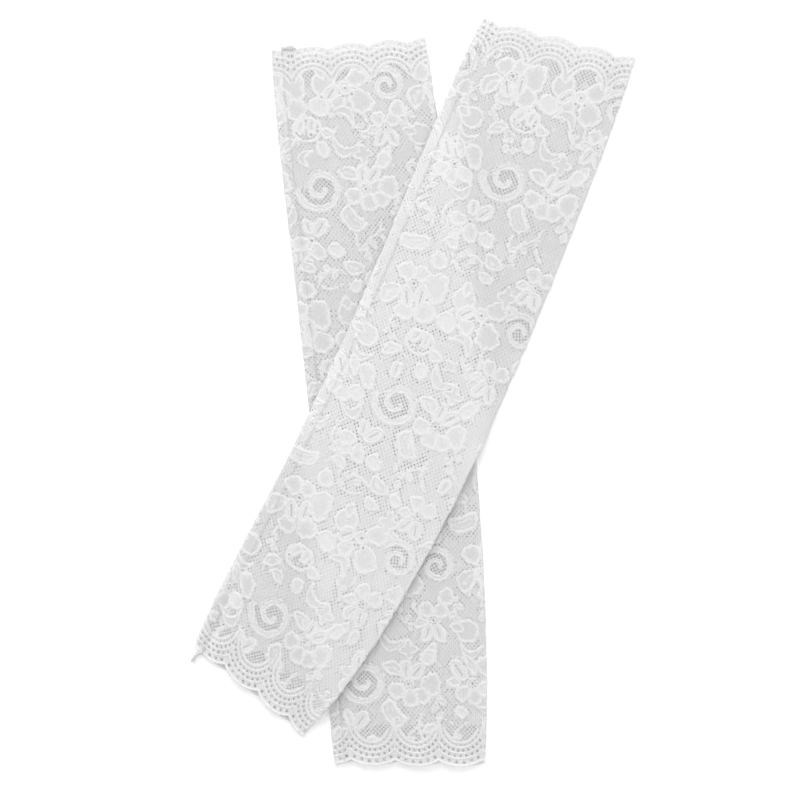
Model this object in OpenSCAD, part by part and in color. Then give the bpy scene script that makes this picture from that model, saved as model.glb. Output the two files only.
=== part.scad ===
// A pair of long fingerless lace gloves, lying flat with one crossed over the other.
// Each glove is an open tube of lace with a scalloped edge round both mouths and one
// overlocked seam along its left side. The tubes are closed soft solids with a hollow
// that runs from mouth to mouth. Millimetres, +Z up, the surface they lie on is z = 0.

/* [Gloves] */
// Length of a glove from the scallops at the elbow to the scallops at the wrist
glove_len = 402; // [380:1:420]
// Height of the slack tube as it lies
loft = 6.2; // [5.8:0.1:7]
// Thickness of the lace
lace_t = 0.6; // [0.5:0.1:0.8]

/* [Lower glove] */
// Flat width at the elbow mouth
lower_elbow_w = 85; // [80:1:90]
// Flat width along the arm
lower_arm_w = 89.5; // [86:0.5:94]
// Flat width at the wrist mouth
lower_wrist_w = 83; // [76:1:90]
// How far the middle line bows to the right
lower_bow = 6; // [0:0.5:8]
// Turn of the glove on the surface, in degrees
lower_turn = 4.9; // [0:0.1:10]

/* [Upper glove] */
// Flat width at the elbow mouth
upper_elbow_w = 86; // [80:1:90]
// Flat width along the arm
upper_arm_w = 94; // [88:0.5:98]
// Flat width at the wrist mouth
upper_wrist_w = 77; // [72:1:90]
// How far the middle line bows to the right
upper_bow = 10; // [0:0.5:12]
// Turn of the glove on the surface, in degrees
upper_turn = -25.3; // [-30:0.1:-20]

/* [Scalloped edges] */
// Number of scallops round the elbow mouth
elbow_scallops = 8; // [6:1:10]
// Number of scallops round the wrist mouth
wrist_scallops = 7; // [5:1:9]
// Depth of a scallop from its crest to the notch beside it
scallop_depth = 3.6; // [2:0.1:5]
// Width of the band of edging along each mouth
border_len = 20; // [16:1:26]

/* [Seam] */
// Distance of the seam from the left fold
seam_inset = 6; // [5:0.5:9]
// Width of the overlocked seam
seam_w = 1.8; // [1.2:0.1:2.4]
// Height of the seam above the lace
seam_h = 0.5; // [0.3:0.1:0.6]
// Length of the thread tail left at one end of the seam
tail_len = 5.5; // [3:0.5:8]

/* [Drape] */
// Clear height between the two gloves where they cross
rest_gap = 0.4; // [0.3:0.1:1]
// How far from the lower glove's side the upper one comes down to the surface
drape_reach = 15; // [12:1:22]
// How far inside that side the upper glove starts to come down
drape_start = 1; // [0:0.5:3]

/* [Hidden] */
LOWER = 0;
UPPER = 1;

// Values of the two gloves, lower first
elbow_at = [[-37, 194], [81, 197]];
turns = [lower_turn, upper_turn];
elbow_w = [lower_elbow_w, upper_elbow_w];
arm_w = [lower_arm_w, upper_arm_w];
wrist_w = [lower_wrist_w, upper_wrist_w];
bow = [lower_bow, upper_bow];
elbow_slant = [0, -0.17];
wrist_slant = [0.09, 0.19];
wrist_phase = [-0.16, -0.6];
lace_colour = [[0.9, 0.9, 0.9], [0.95, 0.95, 0.95]];

fold_r = loft / 2;
rise_h = loft + seam_h + rest_gap;
flare = 0.09;
bow_lag = 1.25;
face_cols = 12;
body_rows = 44;
crossing_rows = [15, 31];
scallop_cols = 24;
scallop_rows = 4;
fold_steps = 6;
tail_r = 0.8;
tail_tip_r = 0.35;
seam_lift = 0.05;

// Flat outline of a glove: v runs from the elbow to the wrist, u from left to right
function half_width(g, v) =
    (arm_w[g] - (arm_w[g] - elbow_w[g]) * exp(-v / glove_len / flare)
              - (arm_w[g] - wrist_w[g]) * exp(-(1 - v / glove_len) / flare)) / 2;
function middle(g, v) = bow[g] * sin(180 * pow(max(0, min(1, v / glove_len)), bow_lag));
function on_surface(g, u, v) =
    elbow_at[g] + [u * cos(turns[g]) + v * sin(turns[g]), u * sin(turns[g]) - v * cos(turns[g])];

// Distance of a place outside the lower glove's nearer side, negative inside it
function beyond_lower(p) =
    let (d = p - elbow_at[LOWER], a = turns[LOWER],
         u = d.x * cos(a) + d.y * sin(a), v = d.x * sin(a) - d.y * cos(a))
    abs(u - middle(LOWER, v)) - half_width(LOWER, v);
function ease(t) = let (k = max(0, min(1, t))) k * k * (3 - 2 * k);
function rise(g, p) =
    g == LOWER ? 0
    : rise_h * ease((drape_reach - beyond_lower(p)) / (drape_reach + drape_start));

// One place on a tube, at height z of the tube's own section
function at(g, u, v, z) =
    let (p = on_surface(g, u, v)) [p.x, p.y, z + rise(g, p)];

// Where along the glove a place lies: c is -1 at the left side and 1 at the right,
// f runs from 0 at the elbow to 1 at the wrist, and both mouths are a little slanted
function along(g, c, f) =
    f * glove_len + ((1 - f) * elbow_slant[g] + f * wrist_slant[g]) * c * arm_w[g] / 2;

// Depth of the scalloped edge at the share q of the way round a mouth with this many scallops
function notch(count, q) = scallop_depth * (1 - abs(cos(180 * count * q)));
function round_mouth(g) = 2 * arm_w[g] - 4 * fold_r + 2 * PI * fold_r;
function top_share(g, u) = u / round_mouth(g);
function under_share(g, u) = 0.5 - u / round_mouth(g);

band = border_len / glove_len;
function elbow_v(g, c, q, k) = along(g, c, band * k) + notch(elbow_scallops, q) * (1 - k);
function wrist_v(g, c, q, k) =
    along(g, c, 1 - band * k)
    - notch(wrist_scallops, q + wrist_phase[g] / wrist_scallops) * (1 - k);

// Columns of a face from its left side, -1, to its right side, 1, with one under each edge
// of the seam
function seam_c(g, side) =
    (seam_inset - fold_r + side * seam_w) / (arm_w[g] / 2 - fold_r) - 1;
function columns(g, count) =
    let (right = seam_c(g, 0.5))
    concat([-1, seam_c(g, -0.5)], [for (j = [0:count]) right + (1 - right) * j / count]);

// A sheet's two skins: each row holds its places from left to right
function body_skin(g, z, rows = [0, body_rows]) = [
    for (i = [rows[0]:rows[1]]) [
        for (c = columns(g, face_cols))
            let (v = along(g, c, band + (1 - 2 * band) * i / body_rows))
            at(g, middle(g, v) + c * (half_width(g, v) - fold_r), v, z)]];
function scallop_skin(g, z, at_elbow, on_top) = [
    for (i = [0:scallop_rows]) [
        for (c = columns(g, scallop_cols))
            let (u = c * (arm_w[g] / 2 - fold_r),
                 q = on_top ? top_share(g, u) : under_share(g, u), k = i / scallop_rows,
                 v = at_elbow ? elbow_v(g, c, q, k) : wrist_v(g, c, q, 1 - k))
            at(g, middle(g, v) + c * (half_width(g, v) - fold_r), v, z)]];

// Rows of a fold: the elbow's edging, the body, then the wrist's edging
function fold_v(g, side, q, i) =
    i < scallop_rows ? elbow_v(g, side, q, i / scallop_rows)
    : i <= scallop_rows + body_rows
        ? along(g, side, band + (1 - 2 * band) * (i - scallop_rows) / body_rows)
        : wrist_v(g, side, q, (2 * scallop_rows + body_rows - i) / scallop_rows);
function fold_skin(g, side, r) = [
    for (i = [0:2 * scallop_rows + body_rows]) [
        for (j = [0:fold_steps])
            let (a = 90 - 180 * j / fold_steps,
                 q = side * (arm_w[g] / 2 - fold_r + fold_r * PI * j / fold_steps)
                     / round_mouth(g),
                 v = fold_v(g, side, q, i))
            at(g, middle(g, v) + side * (half_width(g, v) - fold_r + r * cos(a)), v,
               fold_r + r * sin(a))]];

// The seam lies on the top face's own facets, between its second and third columns
function seam_skin(g, lift) =
    let (elbow = scallop_skin(g, loft, true, true), wrist = scallop_skin(g, loft, false, true),
         rows = concat([for (i = [0:scallop_rows - 1]) elbow[i]], body_skin(g, loft),
                       [for (i = [1:scallop_rows]) wrist[i]]))
    [for (row = rows) [for (p = [row[1], row[2]]) p + [0, 0, lift]]];

// Closes two skins of the same grid into one solid; b lies behind a
module solid_between(a, b) {
    rows = len(a);
    cols = len(a[0]);
    n = rows * cols;
    points = [for (skin = [a, b]) for (row = skin) for (p = row) p];
    function id(s, i, j) = s * n + i * cols + j;
    function quad(p, q, r, s) = [[p, q, r], [p, r, s]];
    faces = [
        for (i = [0:rows - 2]) for (j = [0:cols - 2])
            each quad(id(0, i, j), id(0, i, j + 1), id(0, i + 1, j + 1), id(0, i + 1, j)),
        for (i = [0:rows - 2]) for (j = [0:cols - 2])
            each quad(id(1, i, j), id(1, i + 1, j), id(1, i + 1, j + 1), id(1, i, j + 1)),
        for (i = [0:rows - 2])
            each quad(id(0, i, 0), id(0, i + 1, 0), id(1, i + 1, 0), id(1, i, 0)),
        for (i = [0:rows - 2])
            each quad(id(0, i, cols - 1), id(1, i, cols - 1), id(1, i + 1, cols - 1),
                      id(0, i + 1, cols - 1)),
        for (j = [0:cols - 2])
            each quad(id(0, 0, j), id(1, 0, j), id(1, 0, j + 1), id(0, 0, j + 1)),
        for (j = [0:cols - 2])
            each quad(id(0, rows - 1, j), id(0, rows - 1, j + 1), id(1, rows - 1, j + 1),
                      id(1, rows - 1, j))
    ];
    polyhedron(points, faces);
}

// Middle of the pair on the surface, so that the origin is under the centre of its box
outline = [
    for (g = [LOWER, UPPER]) for (side = [-1, 1])
        for (row = fold_skin(g, side, fold_r)) for (p = row) p,
    for (g = [LOWER, UPPER]) for (at_elbow = [true, false]) for (on_top = [true, false])
        for (row = scallop_skin(g, 0, at_elbow, on_top)) for (p = row) p
];
xs = [for (p = outline) p.x];
ys = [for (p = outline) p.y];
centre = [(min(xs) + max(xs)) / 2, (min(ys) + max(ys)) / 2, 0];

module lace(g) { color(lace_colour[g]) translate(-centre) children(); }

// Rows of a face's part: the whole of the lower glove's, or one of the upper glove's three
WHOLE = [0, body_rows];
ELBOW_PART = [0, crossing_rows[0]];
CROSSING_PART = crossing_rows;
WRIST_PART = [crossing_rows[1], body_rows];

module top_face(g, rows) {
    lace(g) solid_between(body_skin(g, loft, rows), body_skin(g, loft - lace_t, rows));
}

module under_face(g, rows) {
    lace(g) solid_between(body_skin(g, lace_t, rows), body_skin(g, 0, rows));
}

module fold(g, side) {
    outer = fold_skin(g, side, fold_r);
    inner = fold_skin(g, side, fold_r - lace_t);
    lace(g)
        if (side > 0) solid_between(outer, inner);
        else solid_between(inner, outer);
}

module scalloped_edge(g, at_elbow, on_top) {
    z = on_top ? loft : lace_t;
    lace(g) solid_between(scallop_skin(g, z, at_elbow, on_top),
                          scallop_skin(g, z - lace_t, at_elbow, on_top));
}

module side_seam(g) {
    lace(g) solid_between(seam_skin(g, seam_h), seam_skin(g, seam_lift));
}

// Tapered twist of thread that runs on from the seam, out over the mouth's edge
module seam_tail(g, at_elbow) {
    skin = seam_skin(g, tail_r + seam_lift);
    row = at_elbow ? skin[0] : skin[len(skin) - 1];
    lace(g)
        translate((row[0] + row[1]) / 2)
            rotate([at_elbow ? -90 : 90, 0, 0])
                cylinder(h = tail_len, r1 = tail_r, r2 = tail_tip_r, $fn = 24);
}

top_face(LOWER, WHOLE);  // lower_top_face
under_face(LOWER, WHOLE);  // lower_under_face
fold(LOWER, -1);  // lower_left_fold
fold(LOWER, 1);  // lower_right_fold
scalloped_edge(LOWER, true, true);  // lower_elbow_scallops_top
scalloped_edge(LOWER, true, false);  // lower_elbow_scallops_under
scalloped_edge(LOWER, false, true);  // lower_wrist_scallops_top
scalloped_edge(LOWER, false, false);  // lower_wrist_scallops_under
side_seam(LOWER);  // lower_side_seam
seam_tail(LOWER, true);  // lower_elbow_tail
top_face(UPPER, ELBOW_PART);  // upper_top_face_elbow
top_face(UPPER, CROSSING_PART);  // upper_top_face_crossing
top_face(UPPER, WRIST_PART);  // upper_top_face_wrist
under_face(UPPER, ELBOW_PART);  // upper_under_face_elbow
under_face(UPPER, CROSSING_PART);  // upper_under_face_crossing
under_face(UPPER, WRIST_PART);  // upper_under_face_wrist
fold(UPPER, -1);  // upper_left_fold
fold(UPPER, 1);  // upper_right_fold
scalloped_edge(UPPER, true, true);  // upper_elbow_scallops_top
scalloped_edge(UPPER, true, false);  // upper_elbow_scallops_under
scalloped_edge(UPPER, false, true);  // upper_wrist_scallops_top
scalloped_edge(UPPER, false, false);  // upper_wrist_scallops_under
side_seam(UPPER);  // upper_side_seam
seam_tail(UPPER, false);  // upper_wrist_tail
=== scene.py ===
import bpy
import math
import numpy as np
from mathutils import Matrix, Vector


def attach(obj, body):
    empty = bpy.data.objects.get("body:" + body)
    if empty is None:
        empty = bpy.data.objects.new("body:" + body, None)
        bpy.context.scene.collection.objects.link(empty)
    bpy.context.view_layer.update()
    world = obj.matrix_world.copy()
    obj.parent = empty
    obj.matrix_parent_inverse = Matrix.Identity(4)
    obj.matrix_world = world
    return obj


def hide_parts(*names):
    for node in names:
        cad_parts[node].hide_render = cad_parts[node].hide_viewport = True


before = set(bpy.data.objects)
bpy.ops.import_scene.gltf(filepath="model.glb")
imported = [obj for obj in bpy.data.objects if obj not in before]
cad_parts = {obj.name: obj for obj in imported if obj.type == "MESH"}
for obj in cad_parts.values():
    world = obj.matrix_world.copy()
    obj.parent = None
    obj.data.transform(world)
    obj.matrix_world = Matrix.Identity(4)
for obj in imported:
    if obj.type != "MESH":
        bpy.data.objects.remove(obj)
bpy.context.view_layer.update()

# The gloves are worked out in millimetres, and MM turns them into Blender's metres. The camera,
# lamps and floor are in metres.
MM = 0.001

# --- The gloves as the CAD lays them ---------------------------------------------------
LENGTH = 402.0
FLARE = 0.09
BOW_LAG = 1.25
ELBOW_SCALLOPS = 8
WRIST_SCALLOPS = 7
SEAM_INSET = 6.0

# --- How the soft tube lies inside the CAD solid -----------------------------------------
# REST is the lace's own height over the surface, and no thread comes lower than CONTACT.
FOLD_R = 1.35
REST = 0.45
CONTACT = 0.02
CROWN = 2.4
CROWN_POWER = 3.5
RISE = 7.0
DRAPE_REACH = 15.0
DRAPE_START = 3.0
WAVE = 0.28
WAVES = 9
WAVE_LENGTHS = (18, 75)
WAVE_LEVEL = 1.6
MOUTH_LIFT = 0.7
MOUTH_REACH = 14
# The seam's pucker: a ridge and a valley beside it, each as wide as said, deeper near the mouths
PUCKER = 0.14
RIDGE_W = 1.3
VALLEY_SHARE, VALLEY_AT, VALLEY_W = 0.6, 2.2, 0.9
PUCKER_LEAST, PUCKER_FROM_ELBOW, PUCKER_FROM_WRIST = 0.25, 110, 70
PUCKER_UNEVEN, PUCKER_BEATS = 0.35, (3.1, 8.7)
# The furrow beside the upper glove's seam, towards its wrist
GROOVE = 2.1
GROOVE_FROM, GROOVE_EASE = 325.0, 45
GROOVE_AT, GROOVE_W = 0.6, 3.3

# --- The overlocked seam and its thread tail -------------------------------------------------
SEAM_W = 1.2
SEAM_LIFT = 0.02
SEAM_END = 0.6
STITCH = 1.7
THREAD_R = 0.15
ROW_SWAY, ROW_RISE, ROW_SWELL = 0.10, 0.16, 0.25
LOOP_LEAN, LOOP_BEND, LOOP_RISE, LOOP_SLACK = 0.42, 0.15, 0.26, 0.2
TAIL_THREADS = 7
TAIL_R = 0.8
TAIL_THREAD_R = 0.42
TAIL_TURNS = 1.3
TAIL_FRAYS_FROM = 0.75
TAIL_KNOT_AT, TAIL_KNOT_W = 0.72, 0.2
TAIL_RISE, TAIL_DROOP = 0.55, 1.1
# Nearly up, but along no thread
UPWARDS = (0.13, 0.21, 1.0)

# --- The lace ------------------------------------------------------------------------------
GRID = 0.4
NET_ACROSS = 6 * GRID
NET_ALONG = 7 * GRID
# A higher number makes smaller holes, here and in MESH_OPEN
NET_OPEN = 0.7
NET_OPEN_BY_MOTIF = 0.42
CORD = 0.82
CORD_H = 0.42
FILL_H = 0.08
GROUND_TONE = 0.3
FILL_TONE = 0.12
FULL_TONE = 0.65
# Unevenness of outlines, and how many grid places its lumps are across
WOBBLE, WOBBLE_CELL = 0.42, 4
STITCHES, STITCH_CELL = 0.4, 2
PATCH_CELL = 14
ELBOW_SHIFT = 9.0
SHIFT_TO = 62.0
SHIFT_OVER = 50.0
MESH = 2.4
MESH_OPEN = 0.2
THREAD_ROUND = 0.14
REPEAT = 137.5
# Ruffled rims: a comb of stitches RUFFLE apart that reach RUFFLE_IN inwards
RUFFLE = 1.9
RUFFLE_IN = 2.8
RUFFLE_SWING = 0.4
RUFFLE_TONE = 1.5
RUFFLE_H = 0.24
# The ground's ribs and patches, and single stitches: a pair is for the plain net, then elsewhere
WALE_TONE, WALE_H = (0.38, 0.24), (0.11, 0.09)
PATCH_TONE = (0.16, 0.08)
STITCH_TONE, STITCH_H = 0.12, 0.07
# Depths into a motif, so outside is below zero: the net is plain from PLAIN on, and its holes
# are wide as far as BESIDE wherever the patches are above WIDE_WHERE
PLAIN, BESIDE = -0.15, -1.2
WIDE_WHERE = -0.35
# Painted light: what the tone gains where the upper glove is lifted most, so that it is painted
# paler where it crosses the lower glove
CROSSING_PAINTED_LIGHT = 0.5
# The share of light that a thread lets through
THIN = 0.35
# Stands for a distance too large to matter
FAR = 9.0


class Glove:
    """Outline and lie of one glove: v runs from the elbow to the wrist, u to the right."""

    def __init__(self, name, elbow_at, turn, widths, bow, slants, wrist_phase, pattern, groove,
                 tail):
        self.name = name
        self.groove = groove
        self.tail = tail
        self.elbow_at = elbow_at
        self.turn = math.radians(turn)
        self.elbow_w, self.arm_w, self.wrist_w = widths
        self.bow = bow
        self.slants = slants
        self.wrist_phase = wrist_phase
        self.pattern_x, self.pattern_y, self.drift = pattern
        self.flat = self.arm_w / 2 - FOLD_R
        self.girth = 4 * self.flat + 2 * math.pi * FOLD_R
        self.seam_s = SEAM_INSET - self.arm_w / 2

    def half_width(self, v):
        """Half the flat width, which changes a little towards each mouth."""
        near_elbow = (self.arm_w - self.elbow_w) * np.exp(-v / LENGTH / FLARE)
        near_wrist = (self.arm_w - self.wrist_w) * np.exp(-(1 - v / LENGTH) / FLARE)
        return (self.arm_w - near_elbow - near_wrist) / 2

    def middle(self, v):
        """How far the glove's middle line bows to the right."""
        return self.bow * np.sin(math.pi * np.clip(v / LENGTH, 0, 1) ** BOW_LAG)

    def on_surface(self, u, v):
        """From the glove's u and v to x and y on the surface it lies on."""
        c, s = math.cos(self.turn), math.sin(self.turn)
        return self.elbow_at[0] + u * c + v * s, self.elbow_at[1] + u * s - v * c

    def local(self, x, y):
        """From x and y on the surface back to u and v."""
        c, s = math.cos(self.turn), math.sin(self.turn)
        dx, dy = x - self.elbow_at[0], y - self.elbow_at[1]
        return dx * c + dy * s, dx * s - dy * c

    def beyond(self, x, y):
        """Distance outside the nearer side, negative inside it."""
        u, v = self.local(x, y)
        return np.abs(u - self.middle(v)) - self.half_width(v)

    def slant(self, v):
        """How much further along the right side lies than the middle, as a share of u."""
        share = v / LENGTH
        return (1 - share) * self.slants[0] + share * self.slants[1]


# Widths are at the elbow, along the arm and at the wrist, and slants at the elbow and the wrist.
# A tail has its bend and its end, each as to the side and onwards, and how thick its knot is.
LOWER = Glove("lower", elbow_at=(-37.0, 194.0), turn=4.9, widths=(85.0, 89.5, 83.0), bow=6.0,
              slants=(0.0, 0.09), wrist_phase=-0.16, pattern=(-24.7, 80.0, 0.0), groove=0.0,
              tail=((1.6, 0.6), (8.2, -0.6), 1.0))
UPPER = Glove("upper", elbow_at=(81.0, 197.0), turn=-25.3, widths=(86.0, 94.0, 77.0), bow=10.0,
              slants=(-0.17, 0.19), wrist_phase=-0.6, pattern=(6.0, 85.0, -0.0527),
              groove=GROOVE, tail=((-2.8, 0.8), (-3.3, 7.2), 0.0))


def ease(t):
    """From 0 to 1 with no corners."""
    k = np.clip(t, 0, 1)
    return k * k * (3 - 2 * k)


def waves(x, y):
    """Slow unevenness of cloth at rest, mostly from -1 to 1."""
    total = np.zeros_like(x)
    rng = np.random.default_rng(7)
    for _ in range(WAVES):
        heading = rng.uniform(0, math.pi)
        length, phase = rng.uniform(*WAVE_LENGTHS), rng.uniform(0, 6.28)
        along = x * math.cos(heading) + y * math.sin(heading)
        total += np.sin(2 * math.pi * along / length + phase)
    return total / math.sqrt(WAVES) / WAVE_LEVEL


def rise(glove, x, y):
    """How far the crossing lifts a place of this glove off the surface."""
    if glove is LOWER:
        return np.zeros_like(x)
    return RISE * ease((DRAPE_REACH - LOWER.beyond(x, y)) / (DRAPE_REACH + DRAPE_START))


def bump(x, width):
    """A smooth hump, 1 at x = 0."""
    return np.exp(-(x / width) ** 2)


def top_lie(glove, s, v, c, x, y):
    """How far the top lace lies above a flat tube's: crown, waves, seam pucker and mouths."""
    crown = 1 - np.abs(c) ** CROWN_POWER
    mouth = bump(v, MOUTH_REACH) + bump(LENGTH - v, MOUTH_REACH)
    from_seam = s - glove.seam_s
    valley = VALLEY_SHARE * bump(from_seam - VALLEY_AT, VALLEY_W)
    seam = PUCKER * (bump(from_seam, RIDGE_W) - valley)
    near_mouths = PUCKER_LEAST + bump(v, PUCKER_FROM_ELBOW) + bump(LENGTH - v, PUCKER_FROM_WRIST)
    uneven = PUCKER_UNEVEN * np.sin(v / PUCKER_BEATS[0]) * np.sin(v / PUCKER_BEATS[1])
    seam = seam * near_mouths * (1 + uneven)
    groove = glove.groove * ease((v - GROOVE_FROM) / GROOVE_EASE)
    groove = groove * bump(from_seam - GROOVE_AT, GROOVE_W)
    lie = crown * (CROWN + (WAVE + MOUTH_LIFT * mouth) * waves(x, y)) + seam - groove
    return np.maximum(lie, -FOLD_R)


def lay(glove, s, v, lift):
    """Carries a place of the flat lace to the lying tube. s is the way round from the middle
    of the top, v the way along, and lift the height above the lace's own surface."""
    half = glove.girth / 2
    s = np.mod(s + half, glove.girth) - half
    side, t = np.where(s < 0, -1.0, 1.0), np.abs(s)
    theta = np.clip((t - glove.flat) / FOLD_R, 0, math.pi)
    on_top, under = t <= glove.flat, t >= glove.flat + math.pi * FOLD_R
    c = np.where(under, (half - t) / glove.flat, np.minimum(t / glove.flat, 1)) * side
    v = v + glove.slant(v) * c * glove.arm_w / 2
    out = np.where(on_top | under, 0, np.sin(theta))
    up = np.where(on_top, 1.0, np.where(under, -1.0, np.cos(theta)))
    u = glove.middle(v) + c * (glove.half_width(v) - FOLD_R) + side * out * (FOLD_R + lift)
    x, y = glove.on_surface(u, v)
    z = REST + FOLD_R + up * (FOLD_R + lift) + rise(glove, x, y)
    z = z + np.where(on_top, top_lie(glove, s, v, c, x, y), 0)
    return x, y, np.maximum(z, CONTACT)


# --- Drawing on the flat lace --------------------------------------------------------------
def slow_noise(shape, cell, seed):
    """Smooth noise from -1 to 1 over a grid, with lumps about cell places across."""
    rng = np.random.default_rng(seed)
    rows, cols = shape[0] // cell + 3, shape[1] // cell + 3
    coarse = rng.uniform(-1, 1, (rows, cols))
    i, j = np.arange(shape[0]) / cell, np.arange(shape[1]) / cell
    i0, j0 = i.astype(int), j.astype(int)
    di, dj = ease(i - i0)[:, None], ease(j - j0)[None, :]
    top = coarse[i0][:, j0] * (1 - dj) + coarse[i0][:, j0 + 1] * dj
    low = coarse[i0 + 1][:, j0] * (1 - dj) + coarse[i0 + 1][:, j0 + 1] * dj
    return top * (1 - di) + low * di


class Lace:
    """The flat panel as fields on a grid: what is thread, how high it stands, how pale it is.
    a runs across the panel from the seam, v along it. A distance function is negative inside
    its shape. The motif field is above zero in a motif, and hole and edge are below zero where
    no lace is."""

    def __init__(self, glove, seed):
        self.glove = glove
        self.a = np.arange(0, glove.girth + GRID / 2, GRID)
        self.v = np.arange(-2 * GRID, LENGTH + 2.5 * GRID, GRID)
        shape = (len(self.v), len(self.a))
        self.motif = np.full(shape, -FAR)
        self.height = np.zeros(shape)
        self.tone = np.full(shape, GROUND_TONE)
        self.hole = np.full(shape, FAR)
        self.edge = np.full(shape, FAR)
        self.stitch = slow_noise(shape, STITCH_CELL, seed + 2)
        self.wobble = WOBBLE * slow_noise(shape, WOBBLE_CELL, seed) + STITCHES * self.stitch
        self.patchy = slow_noise(shape, PATCH_CELL, seed + 1)

    def window(self, x, y, turn, reach):
        """The grid places within reach of (x, y), and their places in its turned frame."""
        a0 = x - self.glove.seam_s
        cols = slice(*np.searchsorted(self.a, (a0 - reach, a0 + reach)))
        rows = slice(*np.searchsorted(self.v, (y - reach, y + reach)))
        dx, dy = np.meshgrid(self.a[cols] - a0, self.v[rows] - y)
        c, s = math.cos(math.radians(turn)), math.sin(math.radians(turn))
        return (rows, cols), dx * c + dy * s, dy * c - dx * s

    def shape(self, x, y, turn, reach, distance, cord=CORD, fill="plain", tone=FILL_TONE):
        """A patch of close lace edged with a raised cord. A ruffled one has stitches that run
        in from the cord."""
        at, px, py = self.window(x, y, turn, reach)
        if px.size == 0:
            return
        d = distance(px, py) + self.wobble[at]
        ridge = CORD_H * np.sqrt(np.clip(1 - (d / cord) ** 2, 0, 1))
        self.motif[at] = np.maximum(self.motif[at], cord - d)
        was = self.height[at]
        self.height[at] = np.where(d < 0, np.maximum(ridge, FILL_H), np.maximum(was, ridge))
        self.tone[at] = np.where(np.abs(d) < cord, 1.0, np.where(d < 0, tone, self.tone[at]))
        hole = np.where(d < cord, FAR, self.hole[at])
        if fill == "ruffled":
            strokes = round(math.pi * reach / RUFFLE)
            swing = RUFFLE_SWING * np.cos(strokes * np.arctan2(py, px))
            comb = np.where(d < -0.4 * cord, 1 - RUFFLE_SWING + swing, 0)
            comb = comb * np.clip(1 + d / RUFFLE_IN, 0, 1)
            self.tone[at] = self.tone[at] + RUFFLE_TONE * (1 - self.tone[at]) * comb
            self.height[at] = self.height[at] + RUFFLE_H * comb
        if fill == "mesh":
            cell = np.cos(px * 2 * math.pi / MESH) * np.cos(py * 2 * math.pi / MESH)
            hole = np.where(d < -cord - 0.2, (MESH_OPEN - cell) * 0.5, hole)
        self.hole[at] = hole

    def cord(self, x, y, turn, reach, distance, width=CORD, height=CORD_H):
        """A raised cord along the line where distance is zero."""
        at, px, py = self.window(x, y, turn, reach)
        if px.size == 0:
            return
        d = np.abs(distance(px, py) + self.wobble[at])
        ridge = height * np.sqrt(np.clip(1 - (d / width) ** 2, 0, 1))
        self.motif[at] = np.maximum(self.motif[at], width - d)
        self.height[at] = np.maximum(self.height[at], ridge)
        self.tone[at] = np.where(d < width, 1.0, self.tone[at])
        self.hole[at] = np.where(d < width, FAR, self.hole[at])

    def cut(self, x, y, turn, reach, distance):
        """An opening through the lace."""
        at, px, py = self.window(x, y, turn, reach)
        if px.size:
            self.hole[at] = np.minimum(self.hole[at], distance(px, py))


def blade(long, wide, end=2.0, side=2.0, bend=0.0):
    """A leaf along x. A low end power points its tips, a high one squares them; bend is how far
    its middle lies to the side of its tips."""
    def distance(x, y):
        y = y + bend * ((2 * x / long) ** 2 - 0.5)
        kx, ky = np.abs(2 * x / long), np.abs(2 * y / wide)
        k = kx ** end + ky ** side
        slope = np.hypot(end * kx ** (end - 1) * 2 / long, side * ky ** (side - 1) * 2 / wide)
        return (k - 1) / np.maximum(slope, 1.6 / min(long, wide))
    return distance


def lobed(r, lobes, depth, start=0.0, ripple=0.0):
    """A round shape whose edge swings in and out, with a finer ripple on it."""
    def distance(x, y):
        phi = np.arctan2(y, x)
        swing = depth * np.cos(lobes * phi + start) + ripple * np.cos((2 * lobes + 2) * phi)
        return np.hypot(x, y) - r * (1 + swing)
    return distance


# --- Parts of the motifs: each is drawn at a place, turned along its own length ----------------
def petal(lace, x, y, turn, long, wide):
    """An open petal with a wavy, ruffled rim."""
    rim = lobed(0.56 * long, 3, 0.085, 2.6, 0.055)
    squash = wide / long
    lace.shape(x, y, turn, long, lambda a, b: rim(a, b / squash) * squash ** 0.5,
               fill="ruffled")


def full_petal(lace, x, y, turn, long, wide):
    """A petal of close white stitches."""
    lace.shape(x, y, turn, long, blade(1.08 * long, 1.08 * wide, 2.2, 2.2), fill="ruffled",
               tone=FULL_TONE)


def slit_petal(lace, x, y, turn, long, wide):
    """A closed petal with a ladder of eyelets down its middle, edged with a second cord."""
    lace.shape(x, y, turn, long, blade(long, wide), tone=FULL_TONE)
    lace.cord(x, y, turn, long, blade(0.62 * long, 0.46 * wide), 0.34, 0.34)
    for k in range(-2, 3):
        px, py = place(x, y, turn, 0.12 * k * long)
        lace.cut(px, py, turn, 2, blade(0.06 * long, 0.16 * wide))


def leaf(lace, x, y, turn, long, wide):
    """A leaf that narrows to both tips, with a vein."""
    lace.shape(x, y, turn, long, blade(long, wide, 1.5, 1.7, 0.16 * wide))
    lace.cord(x, y, turn, long, blade(0.6 * long, 0.1, 2, 2, 0.2 * wide), 0.28, 0.22)


def spiked_leaf(lace, x, y, turn, long, wide):
    """A broad leaf with one long tip."""
    lace.shape(x, y, turn, long, blade(0.8 * long, wide, 2.4, 2.0))
    px, py = place(x, y, turn, 0.42 * long)
    lace.shape(px, py, turn, long, blade(0.5 * long, 0.42 * wide, 1.3, 1.4))


def square_leaf(lace, x, y, turn, long, wide):
    """A square-ended leaf, rolled a little."""
    lace.shape(x, y, turn, long, blade(long, wide, 5, 4, 0.2 * wide))
    lace.cord(x, y, turn, long, blade(0.72 * long, 0.36 * wide, 4, 3, 0.2 * wide), 0.26, 0.16)


def arched_leaf(lace, x, y, turn, long, wide):
    """A leaf bent like a bow."""
    lace.shape(x, y, turn, long, blade(long, 0.62 * wide, 2.2, 2.0, 0.75 * wide))


def star(lace, x, y, turn, long, wide):
    """A small leaf with four points."""
    rim = lobed(0.42 * long, 4, 0.3)
    lace.shape(x, y, turn, long, lambda a, b: rim(a, b * long / wide))


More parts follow.
